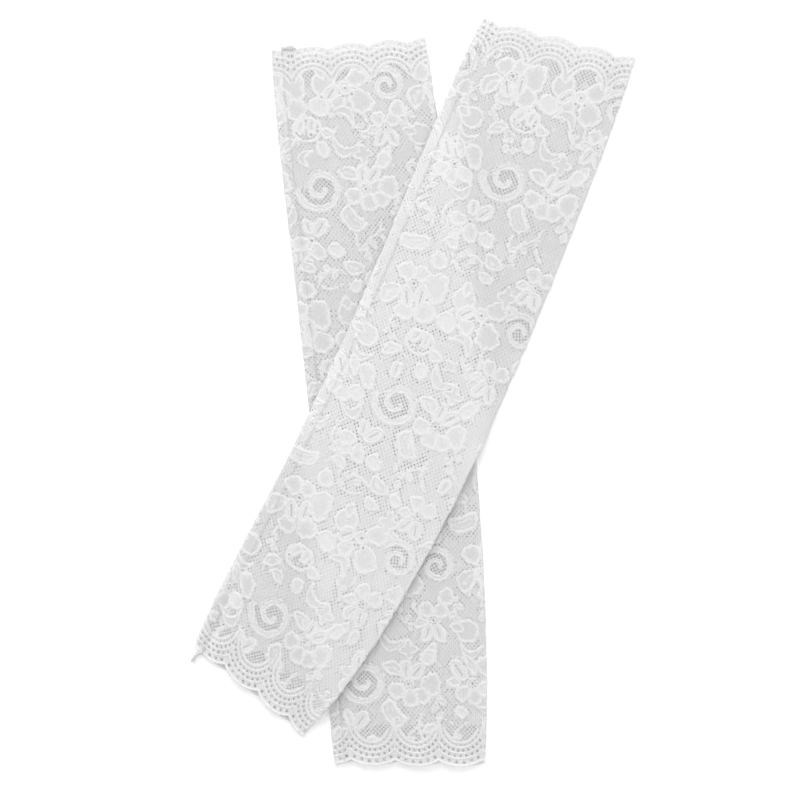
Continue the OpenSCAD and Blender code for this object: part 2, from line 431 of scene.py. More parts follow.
def cup(lace, x, y, turn, long, wide):
    """A round cell with an eyelet in it."""
    lace.shape(x, y, turn, long, blade(long, wide), tone=FULL_TONE)
    eye(lace, x, y, turn, 2.2, 2.2)


def eye(lace, x, y, turn, long, wide):
    """A ring of cord round an eyelet."""
    lace.shape(x, y, turn, long, blade(long, wide), 0.42)
    lace.cut(x, y, turn, long, blade(0.5 * long, 0.5 * wide))


def pin_eye(lace, x, y, turn, long, wide):
    """An eye with a wheel of pin holes round it."""
    lace.shape(x, y, turn, 2 * long, blade(2.1 * long, 2.1 * wide), tone=FULL_TONE)
    for k in range(8):
        px, py = place(x, y, turn + 45 * k, 0.92 * long)
        lace.cut(px, py, turn + 45 * k, 2, blade(1.0, 0.72))
    eye(lace, x, y, turn, long, wide)


def dome(lace, x, y, turn, long, wide):
    """A round patch of eyelets inside a cord."""
    lace.shape(x, y, turn, long, blade(long, wide, 2.3, 2.3), fill="mesh")


def sprig(lace, x, y, turn, long, wide):
    """A short twig with leaves on alternate sides."""
    lace.cord(x, y, turn, long, blade(long, 0.1, 2, 2, 0.2 * wide), 0.4)
    for share, side, lean in ((0.52, 0.0, 0), (0.12, 0.36, 55), (-0.2, -0.36, -50)):
        px, py = place(x, y, turn, share * long, side * wide)
        lace.shape(px, py, turn + lean, long, blade(0.42 * long, 0.4 * wide, 1.5, 1.8),
                   0.42, tone=FULL_TONE)


def stem(lace, x, y, turn, long, wide):
    """A thin twig bent by wide that joins two motifs."""
    lace.cord(x, y, turn, long, blade(long, 0.1, 2, 2, wide), 0.4, 0.34)


def spiral(lace, x, y, turn, size, mirrored):
    """A ribbon rolled inwards, with a mesh of eyelets between its turns."""
    per_turn, start, end = 7.0 * size, math.radians(-375), math.radians(185)
    flip = -1.0 if mirrored else 1.0

    def radius(psi):
        return 11.0 * size + (psi - math.pi / 2) / (2 * math.pi) * per_turn

    def ribbon(px, py):
        rho, phi = np.hypot(px, py), np.arctan2(py * flip, px)
        best = np.full_like(rho, FAR)
        for k in range(-2, 2):
            psi = phi + 2 * math.pi * k
            live = (psi > start) & (psi < end)
            half = (0.8 + 0.6 * np.clip((psi - start) / (end - start), 0, 1)) * size
            best = np.minimum(best, np.where(live, np.abs(rho - radius(psi)) - half, FAR))
        return best

    def inside(px, py):
        phi = np.arctan2(py * flip, px)
        turned = np.where(phi > math.radians(178), phi - 2 * math.pi, phi)
        return np.hypot(px, py) - radius(turned) - 2.4 * size

    lace.shape(x, y, turn, 17 * size, inside, cord=0.2, fill="mesh")
    lace.shape(x, y, turn, 17 * size, ribbon, cord=0.5, tone=FULL_TONE)


def place(x, y, turn, along, across=0.0):
    """The place that lies along and across from (x, y) in a frame turned by turn."""
    c, s = math.cos(math.radians(turn)), math.sin(math.radians(turn))
    return x + along * c - across * s, y + along * s + across * c


# --- Motifs: their parts as place, turn, length and width, from the motif's own eye --------------
ROSE = (
    (petal, -5.8, -4.6, 218, 9.5, 8.2), (petal, 2.0, -6.2, 285, 7.5, 7.0),
    (petal, 12.0, -2.4, 350, 11.5, 14.0), (leaf, -9.6, 9.8, 118, 13.0, 9.0),
    (petal, 12.2, 12.6, 40, 10.5, 9.5), (petal, 1.6, 16.2, 80, 8.5, 8.5),
    (slit_petal, -0.4, 8.4, 62, 12.2, 6.0), (slit_petal, 6.6, 5.0, 82, 11.2, 6.0),
    (pin_eye, 0, 0, 0, 2.5, 2.5),
)
ORCHID = (
    (spiked_leaf, -12.0, -3.6, 262, 15.0, 11.5), (petal, 7.2, -5.4, 325, 11.0, 8.5),
    (petal, 8.2, 9.6, 48, 12.5, 10.5), (petal, -4.6, 9.6, 115, 8.0, 7.0),
    (star, 8.6, -14.0, 80, 11.5, 9.0), (arched_leaf, -2.4, 18.6, 205, 13.5, 7.0),
    (full_petal, -15.6, 11.6, 35, 10.5, 8.0), (slit_petal, -8.2, 2.4, 132, 10.5, 6.4),
    (cup, 0, 0, 0, 6.8, 6.4), (eye, 3.6, 4.2, 0, 1.9, 1.9), (eye, -1.6, 5.0, 0, 1.9, 1.9),
)
BERRY = (
    (leaf, -12.2, 10.0, 145, 10.0, 5.5), (full_petal, 7.6, 14.2, 70, 7.5, 5.0),
    (leaf, 11.0, 3.5, 20, 7.0, 5.0), (dome, 0, 0, 0, 15.0, 13.0),
    (slit_petal, -3.4, -2.4, 118, 7.4, 4.2), (slit_petal, 2.8, -2.4, 96, 7.4, 4.2),
    (eye, -2.6, 4.0, 0, 2.0, 2.0), (eye, 2.0, 4.0, 0, 2.0, 2.0), (eye, 5.8, 1.6, 0, 2.0, 2.0),
    (eye, -5.8, 1.8, 0, 1.8, 1.8),
)
DAISY = (
    (petal, -6.6, 3.6, 150, 8.0, 7.4), (petal, 1.2, 7.8, 80, 8.0, 7.4),
    (petal, 8.0, 6.6, 40, 7.6, 7.0), (petal, 13.0, 0.2, 350, 9.0, 10.5),
    (leaf, -8.2, -8.6, 205, 11.5, 6.6),
    (star, 0.8, -19.0, 85, 9.5, 9.5), (full_petal, 11.8, -14.8, 300, 8.0, 6.0),
    (slit_petal, 5.2, -7.2, 310, 10.5, 6.0), (slit_petal, -1.0, -8.0, 275, 9.6, 5.2),
    (pin_eye, 0, 0, 22, 2.3, 2.3),
)
LILY = (
    (slit_petal, -7.6, -7.4, 236, 12.5, 6.4), (leaf, -0.8, -10.0, 240, 11.0, 4.4),
    (petal, 8.2, -8.0, 236, 12.0, 7.0), (full_petal, 7.4, 3.6, 25, 8.0, 6.6),
    (petal, -5.4, 5.4, 140, 7.5, 6.6), (petal, 1.2, 7.4, 85, 7.5, 6.6),
    (arched_leaf, 9.6, 12.6, 330, 12.0, 7.5), (leaf, -10.4, -0.6, 190, 7.0, 4.6),
    (pin_eye, 0, 0, 0, 2.3, 2.3),
)
BUD = (
    (petal, -6.6, 1.4, 170, 8.2, 6.2), (petal, 2.8, 6.4, 70, 8.6, 6.4),
    (leaf, -4.2, 7.6, 120, 7.0, 4.6),
    (slit_petal, 5.4, -6.8, 305, 10.5, 6.4), (slit_petal, -1.2, -7.8, 255, 8.0, 4.6),
    (eye, 0, 0, 0, 2.4, 2.4),
)
PAIR = (
    (petal, -3.6, -5.8, 240, 7.0, 6.2), (petal, 4.4, -5.0, 315, 7.0, 6.2),
    (leaf, -7.0, 1.6, 165, 7.0, 4.6), (slit_petal, -3.4, 6.8, 115, 9.6, 5.4),
    (slit_petal, 2.8, 7.2, 70, 9.6, 5.4), (pin_eye, 0, 0, 10, 2.1, 2.1),
)

# One repeat, set out round its first spiral: parts between the motifs, then the motifs
LOOSE_PARTS = (
    (stem, 6, -52, 60, 10, 1.5), (stem, 30, -42, 80, 9, 1), (stem, -23, 27, 100, 9, 1),
    (stem, 31, 27, 80, 9, 1), (stem, -3, 55, 20, 10, 2), (stem, 17, 29, 100, 8, 1),
    (sprig, -17.5, 36, 50, 9, 7), (sprig, 23, 34, 105, 10, 7), (sprig, 0, 47, 165, 9, 7),
    (sprig, -38, -38, 80, 10, 7), (sprig, 27, -32, 20, 8, 6), (sprig, -22, -36, 60, 8, 6),
    (sprig, 42, 14, 80, 10, 7), (sprig, -40, 32, 100, 9, 6), (sprig, 30, 62, 40, 8, 6),
    (spiked_leaf, -32, -27, 200, 14.5, 11), (arched_leaf, -30.5, -16, 10, 11, 6),
    (arched_leaf, 16, -22, 20, 14, 7.5), (square_leaf, 15.8, 18.2, 54, 14, 7),
    (leaf, 13.5, 45, 25, 11, 7), (full_petal, 4.6, 35, 40, 8, 6),
    (square_leaf, -31, 51, 345, 14.5, 6.8), (petal, -14, 56, 60, 8, 7), (leaf, -12, 44, 200, 8, 5),
    (star, -19.5, -2.5, 20, 7, 6), (petal, -43, -46, 90, 8, 7), (leaf, 39, -16, 100, 9, 5),
)
UNIT = (
    (LOOSE_PARTS, 0, 0), (ROSE, -21.2, -64.4), (ORCHID, 20.0, -63.4), (BERRY, -3.9, -35.8),
    (DAISY, 25.0, 1.8), (LILY, -29.6, 1.6), (BUD, -8.2, 28.6), (PAIR, 40.4, -33.4),
    (PAIR, 40.6, 49.0),
)
# The spirals as place, turn, size and whether mirrored
SECOND_SPIRAL = (43.5, -63.0, 20, 0.8, True)
FIRST_SPIRAL = (0, 0, 0, 1.0, False)


def clear_of_edging(y):
    """Moves a motif near the elbow mouth a little inwards, out from under the edging."""
    return y + ELBOW_SHIFT * ease((SHIFT_TO - y) / SHIFT_OVER)


def draw_pattern(lace):
    """Repeats the unit along and round the glove."""
    glove = lace.glove
    for column in range(-1, 3):
        for row in range(-1, 4):
            y0 = glove.pattern_y + row * REPEAT
            x0 = glove.pattern_x + column * glove.girth / 2
            for parts, dx, dy in UNIT:
                for part, px, py, turn, long, wide in parts:
                    y = clear_of_edging(y0 + dy + py)
                    part(lace, x0 + dx + px + glove.drift * y, y, turn, long, wide)
            for dx, dy, turn, size, mirrored in (SECOND_SPIRAL, FIRST_SPIRAL):
                y = clear_of_edging(y0 + dy)
                spiral(lace, x0 + dx + glove.drift * y, y, turn, size, mirrored)


# Small leaves for bare ground, each with its length and width. Ground is bare where the motif
# field stays below BARE in the whole square that reaches FILLER_ROOM to each side.
FILLERS = ((leaf, 8.0, 4.8), (full_petal, 6.0, 4.4), (sprig, 8.5, 6.5), (star, 7.0, 6.0),
           (arched_leaf, 9.0, 5.5), (slit_petal, 8.0, 4.8))
FILLER_ROOM = 3.6
FILLER_TRIES = 3000
BARE = -0.4


def fill_gaps(lace, seed):
    """Small leaves and twigs where the pattern leaves the ground bare."""
    rng = np.random.default_rng(seed)
    for _ in range(FILLER_TRIES):
        x = lace.glove.seam_s + rng.uniform(lace.a[0], lace.a[-1])
        y = rng.uniform(EDGE_NET, LENGTH - EDGE_NET)
        turn, kind = rng.uniform(0, 360), rng.integers(len(FILLERS))
        at = lace.window(x, y, 0, FILLER_ROOM)[0]
        if lace.motif[at].max() < BARE:
            part, long, wide = FILLERS[kind]
            part(lace, x, y, turn, long, wide)


# Edging: everything is set out round a centre this far below each scallop's crest
FAN = 23.0
OUTER_FLAT = 0.87
OUTER_DEPTH = 14
EDGE_NET = 20.0
EDGE_TONE = 0.3
# The edging's inner end at a scallop's middle, and how much deeper it is between scallops
BAND_DEPTH, BAND_DIP = 18.0, 2.4
FAN_R, FAN_HUB = 9.2, 2.0
# Cords as radius and half width; eyelets as radius, spacing, shift, half length and half width
CORD_RINGS = ((FAN - 0.5, 0.5), (18.55, 0.36), (15.7, 0.36), (12.6, 0.5), (10.0, 0.55))
EYELET_RINGS = ((20.5, 4.1, 0.5, 0.9, 0.9), (17.2, 3.3, 0.0, 0.75, 0.65),
                (14.2, 2.9, 0.5, 0.85, 0.52), (11.3, 2.6, 0.0, 0.4, 0.4))


def draw_edging(lace, at_elbow):
    """Scallops with cords and rows of eyelets in arches, and a fan of mesh inside each."""
    glove = lace.glove
    depth = lace.v if at_elbow else LENGTH - lace.v
    rows = np.where(depth < FAN + 4)[0]
    rows = slice(rows[0], rows[-1] + 1)
    s, dep = np.meshgrid(lace.a + glove.seam_s, depth[rows])
    count = ELBOW_SCALLOPS if at_elbow else WRIST_SCALLOPS
    share = s / glove.girth * count + (0 if at_elbow else glove.wrist_phase)
    pitch = glove.girth / count
    x = (share - np.round(share)) * pitch
    flatter = 1 - (1 - OUTER_FLAT) * np.clip(1 - dep / OUTER_DEPTH, 0, 1)
    rho, phi = np.hypot(x * flatter, FAN - dep), np.arctan2(x * flatter, FAN - dep)

    def eyelets(radius, step, shift, long, wide):
        turn = (phi / step + shift) - np.round(phi / step + shift)
        return blade(2 * wide, 2 * long)(turn * step * radius, rho - radius)

    edging = (rho > FAN_R) & (dep < BAND_DEPTH + BAND_DIP * (np.abs(x) / pitch * 2) ** 2)
    height, tone, hole = lace.height[rows], lace.tone[rows], lace.hole[rows]
    motif = lace.motif[rows]
    motif = np.where(edging, np.maximum(motif, 1.0), motif)
    height = np.where(edging, FILL_H, height)
    tone = np.where(edging, EDGE_TONE, tone)
    hole = np.where(edging, FAR, hole)
    fan = (rho <= FAN_R) & (rho > FAN_HUB) & (dep < FAN) & (motif < BARE)
    cell = np.cos(x * 2 * math.pi / MESH) * np.cos(dep * 2 * math.pi / MESH)
    motif = np.where(fan, 1.0, motif)
    hole = np.where(fan, (MESH_OPEN - cell) * 0.5, hole)
    height = np.where(fan, FILL_H, height)
    for radius, wide in CORD_RINGS:
        d = np.abs(rho - radius)
        on = (d < wide) & ((dep < EDGE_NET + 1) | (rho > 11))
        ridge = CORD_H * np.sqrt(np.clip(1 - (d / wide) ** 2, 0, 1))
        height = np.where(on, np.maximum(height, ridge), height)
        tone = np.where(on, 1.0, tone)
        motif = np.where(on, np.maximum(motif, wide - d), motif)
        hole = np.where(on, FAR, hole)
    inner = np.abs(x) < pitch / 2 - 0.5
    for radius, spacing, shift, long, wide in EYELET_RINGS:
        d = eyelets(radius, spacing / radius, shift, long, wide)
        hole = np.where(edging & inner, np.minimum(hole, d), hole)
    motif = np.where(rho > FAN, FAN - rho, motif)
    hole = np.where(rho > FAN - 0.3, FAR, hole)
    lace.motif[rows], lace.height[rows], lace.tone[rows] = motif, height, tone
    lace.hole[rows] = hole
    lace.edge[rows] = np.minimum(lace.edge[rows], FAN - rho)


def net(lace):
    """The ground: a diamond net whose holes widen beside the motifs, with ribs and patches."""
    a, v = np.meshgrid(lace.a, lace.v)
    cell = np.cos(2 * math.pi * a / NET_ACROSS) * np.cos(2 * math.pi * v / NET_ALONG)
    plain = lace.motif < PLAIN
    beside = plain & (lace.motif > BESIDE)
    wales = np.cos(4 * math.pi * a / NET_ACROSS + 2 * lace.patchy)
    lace.tone = lace.tone + np.where(plain, *WALE_TONE) * wales + STITCH_TONE * lace.stitch
    lace.tone = lace.tone + np.where(plain, *PATCH_TONE) * lace.patchy
    lace.height = np.where(plain, 0, lace.height) + np.where(plain, *WALE_H) * wales
    lace.height = lace.height + np.where(plain, 0, STITCH_H * lace.stitch)
    limit = np.where(beside & (lace.patchy > WIDE_WHERE), NET_OPEN_BY_MOTIF, NET_OPEN)
    return (limit - cell) * NET_ACROSS / (2 * math.pi)


def draw(glove, seed):
    """Everything on one panel, and the field that is positive where there is thread."""
    lace = Lace(glove, seed)
    draw_pattern(lace)
    fill_gaps(lace, seed + 3)
    draw_edging(lace, True)
    draw_edging(lace, False)
    thread = np.maximum(lace.motif, net(lace))
    thread = np.minimum(thread, lace.hole)
    thread = np.minimum(thread, lace.edge)
    lace.thread = np.clip(thread, -GRID, 2.0)
    rounding = -THREAD_ROUND * (1 - np.clip(lace.thread / 0.5, 0, 1)) ** 2
    lace.height = lace.height + rounding
    return lace


# --- From fields to a mesh ---------------------------------------------------------------------
# A vertex keeps this share of a grid step from the step's ends, so that no sliver is made
NO_SLIVER = 0.06


def outline_mesh(field):
    """Polygons over the part of a grid where field is positive, cut along its zero line.
    Gives each vertex's row and column as decimal numbers, and the polygons as one array for
    each number of corners."""
    rows, cols = field.shape
    inside = field > 0
    corner = np.arange(rows * cols).reshape(rows, cols)
    across = rows * cols + corner
    along = 2 * rows * cols + corner
    code = (inside[:-1, :-1] * 1 + inside[:-1, 1:] * 2 + inside[1:, 1:] * 4 + inside[1:, :-1] * 8)
    ids = {"c0": corner[:-1, :-1], "c1": corner[:-1, 1:], "c2": corner[1:, 1:],
           "c3": corner[1:, :-1], "e0": across[:-1, :-1], "e1": along[:-1, 1:],
           "e2": across[1:, :-1], "e3": along[:-1, :-1]}
    polygons = {}

    def add(cells, tokens):
        if cells.any():
            faces = np.stack([ids[t][cells] for t in tokens], axis=1)
            polygons.setdefault(len(tokens), []).append(faces)

    mean = (field[:-1, :-1] + field[:-1, 1:] + field[1:, 1:] + field[1:, :-1]) / 4
    for case in range(1, 16):
        bits = [bool(case & (1 << k)) for k in range(4)]
        walk = []
        for k in range(4):
            if bits[k]:
                walk.append(f"c{k}")
            if bits[k] != bits[(k + 1) % 4]:
                walk.append(f"e{k}")
        cells = code == case
        if case in (5, 10):
            add(cells & (mean > 0), walk)
            loose = cells & (mean <= 0)
            first = 0 if case == 5 else 1
            add(loose, [f"c{first}", f"e{first}", f"e{(first + 3) % 4}"])
            add(loose, [f"c{first + 2}", f"e{first + 2}", f"e{first + 1}"])
        else:
            add(cells, walk)
    polygons = {n: np.concatenate(parts) for n, parts in polygons.items()}
    used = np.unique(np.concatenate([p.ravel() for p in polygons.values()]))
    kind, at = used // (rows * cols), used % (rows * cols)
    i, j = (at // cols).astype(float), (at % cols).astype(float)
    flat = field.ravel()
    for which, step, axis in ((1, 1, "j"), (2, cols, "i")):
        pick = kind == which
        f0, f1 = flat[at[pick]], flat[np.minimum(at[pick] + step, flat.size - 1)]
        share = np.clip(f0 / np.where(f0 == f1, 1, f0 - f1), NO_SLIVER, 1 - NO_SLIVER)
        if axis == "j":
            j[pick] += share
        else:
            i[pick] += share
    polygons = [np.searchsorted(used, p) for p in polygons.values()]
    return i, j, polygons


def sample(array, i, j):
    """Values of a grid at decimal rows and columns."""
    i0 = np.minimum(i.astype(int), array.shape[0] - 2)
    j0 = np.minimum(j.astype(int), array.shape[1] - 2)
    di, dj = i - i0, j - j0
    top = array[i0, j0] * (1 - dj) + array[i0, j0 + 1] * dj
    low = array[i0 + 1, j0] * (1 - dj) + array[i0 + 1, j0 + 1] * dj
    return top * (1 - di) + low * di


def new_mesh(name, points, polygons):
    """A smooth mesh from an array of places and a list of arrays of polygons."""
    mesh = bpy.data.meshes.new(name)
    mesh.vertices.add(len(points))
    mesh.vertices.foreach_set("co", np.ascontiguousarray(points, np.float32).ravel())
    loops = np.concatenate([p.ravel() for p in polygons])
    sizes = np.concatenate([np.full(len(p), p.shape[1]) for p in polygons])
    mesh.loops.add(len(loops))
    mesh.loops.foreach_set("vertex_index", loops.astype(np.int32))
    mesh.polygons.add(len(sizes))
    starts = np.concatenate([[0], np.cumsum(sizes)[:-1]])
    mesh.polygons.foreach_set("loop_start", starts.astype(np.int32))
    mesh.polygons.foreach_set("use_smooth", np.ones(len(sizes), bool))
    mesh.update(calc_edges=True)
    mesh.validate()
    piece = bpy.data.objects.new(name, mesh)
    bpy.context.scene.collection.objects.link(piece)
    return piece


def polygon_area(x, y, polygons):
    """The polygons' area on the flat lace, which is the thread's without the holes."""
    total = 0.0
    for p in polygons:
        px, py = x[p], y[p]
        total += np.abs(np.sum(px * np.roll(py, -1, 1) - py * np.roll(px, -1, 1), axis=1)).sum() / 2
    return total


def tubes(name, lines, radii, material, sides=6):
    """Round threads along several polylines, closed at both ends, all in one mesh."""
    points, quads, fans, start = [], [], [], 0
    angle = np.arange(sides) * 2 * math.pi / sides
    for line, radius in zip(lines, radii):
        ahead = np.gradient(line, axis=0)
        ahead /= np.linalg.norm(ahead, axis=1)[:, None]
        side = np.cross(ahead, UPWARDS)
        side /= np.linalg.norm(side, axis=1)[:, None]
        over = np.cross(side, ahead)
        ring = (side[:, None] * np.cos(angle)[None, :, None]
                + over[:, None] * np.sin(angle)[None, :, None])
        rings = line[:, None] + ring * radius[:, None, None]
        points += [rings.reshape(-1, 3), line[[0, -1]]]
        around = start + np.arange(len(line) * sides).reshape(-1, sides)
        after = np.roll(around, -1, axis=1)
        quads.append(np.stack([around[:-1], around[1:], after[1:], after[:-1]], -1).reshape(-1, 4))
        foot = start + len(line) * sides
        fans.append(np.stack([np.full(sides, foot), around[0], after[0]], -1))
        fans.append(np.stack([np.full(sides, foot + 1), after[-1], around[-1]], -1))
        start = foot + 2
    piece = new_mesh(name, np.concatenate(points) * MM - CENTRE,
                     [np.concatenate(quads), np.concatenate(fans)])
    piece.data.materials.append(material)
    return piece


def seam_place(glove, across, v, lift):
    """Places beside the seam's middle line on the lying glove."""
    v = np.asarray(v, float)
    x, y, z = lay(glove, glove.seam_s + np.broadcast_to(across, v.shape), v,
                  np.broadcast_to(lift, v.shape))
    return np.stack([x, y, z], -1)


def seam_piece(glove, material):
    """An overlocked seam: two rows of stitches, and loops laid across between them."""
    v = np.arange(SEAM_END, LENGTH - SEAM_END, STITCH / 6)
    beat = np.cos(2 * math.pi * v / STITCH)
    rng = np.random.default_rng(5 if glove is LOWER else 6)
    lines, radii = [], []
    for side in (-1, 1):
        across = side * (SEAM_W / 2 - THREAD_R) + ROW_SWAY * beat
        lines.append(seam_place(glove, across, v, SEAM_LIFT + ROW_RISE * beat))
        radii.append(THREAD_R * (1 + ROW_SWELL * beat))
    loops = np.arange(SEAM_END + STITCH, LENGTH - SEAM_END - STITCH, STITCH)
    for at in loops:
        t = np.linspace(-1, 1, 7)
        slack = rng.uniform(-LOOP_SLACK, LOOP_SLACK)
        across = t * (SEAM_W / 2 - THREAD_R)
        lean = STITCH * (LOOP_LEAN * t + LOOP_BEND * (1 - t * t)) + slack
        lines.append(seam_place(glove, across, at + lean, SEAM_LIFT + LOOP_RISE * (1 - t ** 4)))
        radii.append(np.full(len(t), THREAD_R * 0.9))
    return tubes(f"{glove.name}_overlock_seam", lines, radii, material)


def tail_piece(glove, at_elbow, material):
    """The ends of the seam's threads, twisted together and fraying at the tip."""
    rng = np.random.default_rng(8)
    v0, ahead = (SEAM_END, -1.0) if at_elbow else (LENGTH - SEAM_END, 1.0)
    base = seam_place(glove, 0.0, [v0], 0.4)[0]
    aside = np.array([math.cos(glove.turn), math.sin(glove.turn), 0.0])
    along = np.array([-aside[1], aside[0], 0.0]) * -ahead
    bend, end, knot = glove.tail
    t = np.linspace(0, 1, 26)
    lines, radii = [], []
    for k in range(TAIL_THREADS):
        turn = 2 * math.pi * (k / TAIL_THREADS + TAIL_TURNS * t)
        frayed = 0.8 * np.clip(t - TAIL_FRAYS_FROM, 0, 1) * rng.uniform(0.3, 1.6)
        tied = knot * bump(t - TAIL_KNOT_AT, TAIL_KNOT_W)
        spread = TAIL_R * (0.9 - 0.3 * t + frayed + tied)
        reach = rng.uniform(0.88, 1.0)
        to_side, onward = (2 * t * (1 - t) * bend[axis] + t * t * end[axis] * reach
                           for axis in (0, 1))
        line = base[None] + aside[None] * to_side[:, None] + along[None] * onward[:, None]
        heading = np.gradient(line, axis=0)
        heading /= np.linalg.norm(heading, axis=1)[:, None]
        across = np.stack([-heading[:, 1], heading[:, 0], np.zeros(len(t))], 1)
        line = line + across * (spread * np.cos(turn))[:, None]
        line[:, 2] += TAIL_RISE + spread * np.sin(turn) - TAIL_DROOP * t ** 2
        lines.append(line)
        radii.append(TAIL_THREAD_R * (1 - 0.3 * t))
    return tubes(f"{glove.name}_thread_tail", lines, radii, material)


def lace_piece(lace, name, rows, cols, material):
    """One stretch of a panel as a mesh, with its flat area in square millimetres."""
    glove = lace.glove
    i, j, polygons = outline_mesh(lace.thread[rows, cols])
    chart = np.stack([j / (cols.stop - cols.start - 1), i / (rows.stop - rows.start - 1)], 1)
    i, j = i + rows.start, j + cols.start
    a, v = j * GRID, i * GRID + lace.v[0]
    x, y, z = lay(glove, a + glove.seam_s, v, sample(lace.height, i, j))
    piece = new_mesh(name, np.stack([x, y, z], 1) * MM - CENTRE, polygons)
    tone = piece.data.attributes.new("thread_tone", "FLOAT", "POINT")
    # Painted light: the upper glove's tone is raised where it lies over the lower glove, a painted
    # brightening of the crossing on top of the lace's own tone
    over = np.clip(rise(glove, x, y) / RISE, 0, 1) * CROSSING_PAINTED_LIGHT
    tone.data.foreach_set("value", (sample(lace.tone, i, j) + over).astype(np.float32))
    corner = np.empty(len(piece.data.loops), np.int32)
    piece.data.loops.foreach_get("vertex_index", corner)
    sheet_map = piece.data.uv_layers.new(name="OFBake")
    sheet_map.data.foreach_set("uv", chart[corner].astype(np.float32).ravel())
    piece.data.materials.append(material)
    return piece, polygon_area(a, v, polygons)


# --- Materials -----------------------------------------------------------------------------------
def thread_material(name, dark, light, scale, depth, rough):
    """Matte knitted thread: whiter on the cords, fine ribs, a slight uneven tint, and a share
    of light that passes through."""
    material = bpy.data.materials.new(name)
    material.use_nodes = True
    tree = material.node_tree
    make, link = tree.nodes.new, tree.links.new
    shader = tree.nodes["Principled BSDF"]
    shader.inputs["Sheen Weight"].default_value = 0.25
    shader.inputs["Sheen Roughness"].default_value = 0.5
    shader.inputs["Specular IOR Level"].default_value = 0.25
    where = make("ShaderNodeTexCoord")
    # The attribute holds the lace's own tone plus the painted light over the crossing
    tone = make("ShaderNodeAttribute")
    tone.attribute_name = "thread_tone"
    ramp = make("ShaderNodeValToRGB")
    ramp.color_ramp.elements[0].color = dark
    ramp.color_ramp.elements[1].color = light
    patch = make("ShaderNodeTexNoise")
    patch.inputs["Scale"].default_value = 60
    patch.inputs["Detail"].default_value = 3
    mixed = make("ShaderNodeMath")
    mixed.operation = "MULTIPLY_ADD"
    mixed.inputs[1].default_value = 0.35
    link(where.outputs["Object"], patch.inputs["Vector"])
    link(patch.outputs["Fac"], mixed.inputs[0])
    link(tone.outputs["Fac"], mixed.inputs[2])
    level = make("ShaderNodeMapRange")
    level.inputs["From Min"].default_value = 0.3
    level.inputs["From Max"].default_value = 1.2
    link(mixed.outputs[0], level.inputs["Value"])
    link(level.outputs["Result"], ramp.inputs["Fac"])
    link(ramp.outputs["Color"], shader.inputs["Base Color"])
    ribs = make("ShaderNodeTexWave")
    ribs.inputs["Scale"].default_value = scale
    ribs.inputs["Distortion"].default_value = 3
    ribs.inputs["Detail"].default_value = 2
    fuzz = make("ShaderNodeTexNoise")
    fuzz.inputs["Scale"].default_value = scale * 9
    fuzz.inputs["Detail"].default_value = 4
    link(where.outputs["Object"], ribs.inputs["Vector"])
    link(where.outputs["Object"], fuzz.inputs["Vector"])
    relief = make("ShaderNodeMix")
    relief.inputs["Factor"].default_value = 0.5
    link(ribs.outputs["Fac"], relief.inputs["A"])
    link(fuzz.outputs["Fac"], relief.inputs["B"])
    lumps = make("ShaderNodeBump")
    lumps.inputs["Strength"].default_value = depth
    lumps.inputs["Distance"].default_value = 0.15 * MM
    link(relief.outputs["Result"], lumps.inputs["Height"])
    link(lumps.outputs["Normal"], shader.inputs["Normal"])
    dull = make("ShaderNodeMapRange")
    dull.inputs["To Min"].default_value = rough
    dull.inputs["To Max"].default_value = min(1.0, rough + 0.18)
    link(fuzz.outputs["Fac"], dull.inputs["Value"])
    link(dull.outputs["Result"], shader.inputs["Roughness"])
    through = make("ShaderNodeBsdfTranslucent")
    both = make("ShaderNodeMixShader")
    both.inputs["Fac"].default_value = THIN
    link(ramp.outputs["Color"], through.inputs["Color"])
    link(shader.outputs[0], both.inputs[1])
    link(through.outputs[0], both.inputs[2])
    link(both.outputs[0], tree.nodes["Material Output"].inputs["Surface"])
    return material


# --- The gloves --------------------------------------------------------------------------------
# CENTRE takes the gloves from the drawing's origin to the frame's
CENTRE = np.array([0.2, 0.62, 0.0]) * MM
EDGING_V = 20.0
ARM_PARTS = 3


def make_glove(glove, lace_material, seam_material, seed):
    """All the pieces of one glove, tied to its body, with the CAD nodes they stand for hidden."""
    lace = draw(glove, seed)
    body = f"{glove.name}_glove"
    arm_cuts = np.linspace(EDGING_V, LENGTH - EDGING_V, ARM_PARTS + 1)
    cuts = np.concatenate([[lace.v[0]], arm_cuts, [lace.v[-1]]])
    cuts = np.round((cuts - lace.v[0]) / GRID).astype(int)
    sections = ["elbow_edging"] + [f"arm_{k + 1}" for k in range(ARM_PARTS)] + ["wrist_edging"]
    across = np.round(np.array([0, 0.5, 1]) * (len(lace.a) - 1)).astype(int)
    stood_for = {("front", "elbow_edging"): ("elbow_scallops_top",),
                 ("front", "wrist_edging"): ("wrist_scallops_top",),
                 ("back", "elbow_edging"): ("elbow_scallops_under",),
                 ("back", "wrist_edging"): ("wrist_scallops_under",)}
    for side, cad_face, fold in (("front", "top_face", "right_fold"),
                                 ("back", "under_face", "left_fold")):
        if glove is UPPER:
            stood_for[side, "arm_1"] = (f"{cad_face}_elbow",)
            stood_for[side, "arm_2"] = (f"{cad_face}_crossing", fold)
            stood_for[side, "arm_3"] = (f"{cad_face}_wrist",)
        else:
            stood_for[side, "arm_1"] = (cad_face,)
            stood_for[side, "arm_2"] = (fold,)
    for half, face in enumerate(("front", "back")):
        for k, section in enumerate(sections):
            rows = slice(cuts[k], cuts[k + 1] + 1)
            cols = slice(across[half], across[half + 1] + 1)
            piece, area = lace_piece(lace, f"{glove.name}_lace_{face}_{section}", rows, cols,
                                     lace_material)
            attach(piece, body)
            nodes = [f"{glove.name}_{n}" for n in stood_for.get((face, section), ())]
            if nodes:
                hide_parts(*nodes)
    seam = seam_piece(glove, seam_material)
    tail = tail_piece(glove, glove is LOWER, seam_material)
    for piece, node in ((seam, "side_seam"),
                        (tail, "elbow_tail" if glove is LOWER else "wrist_tail")):
        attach(piece, body)
        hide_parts(f"{glove.name}_{node}")


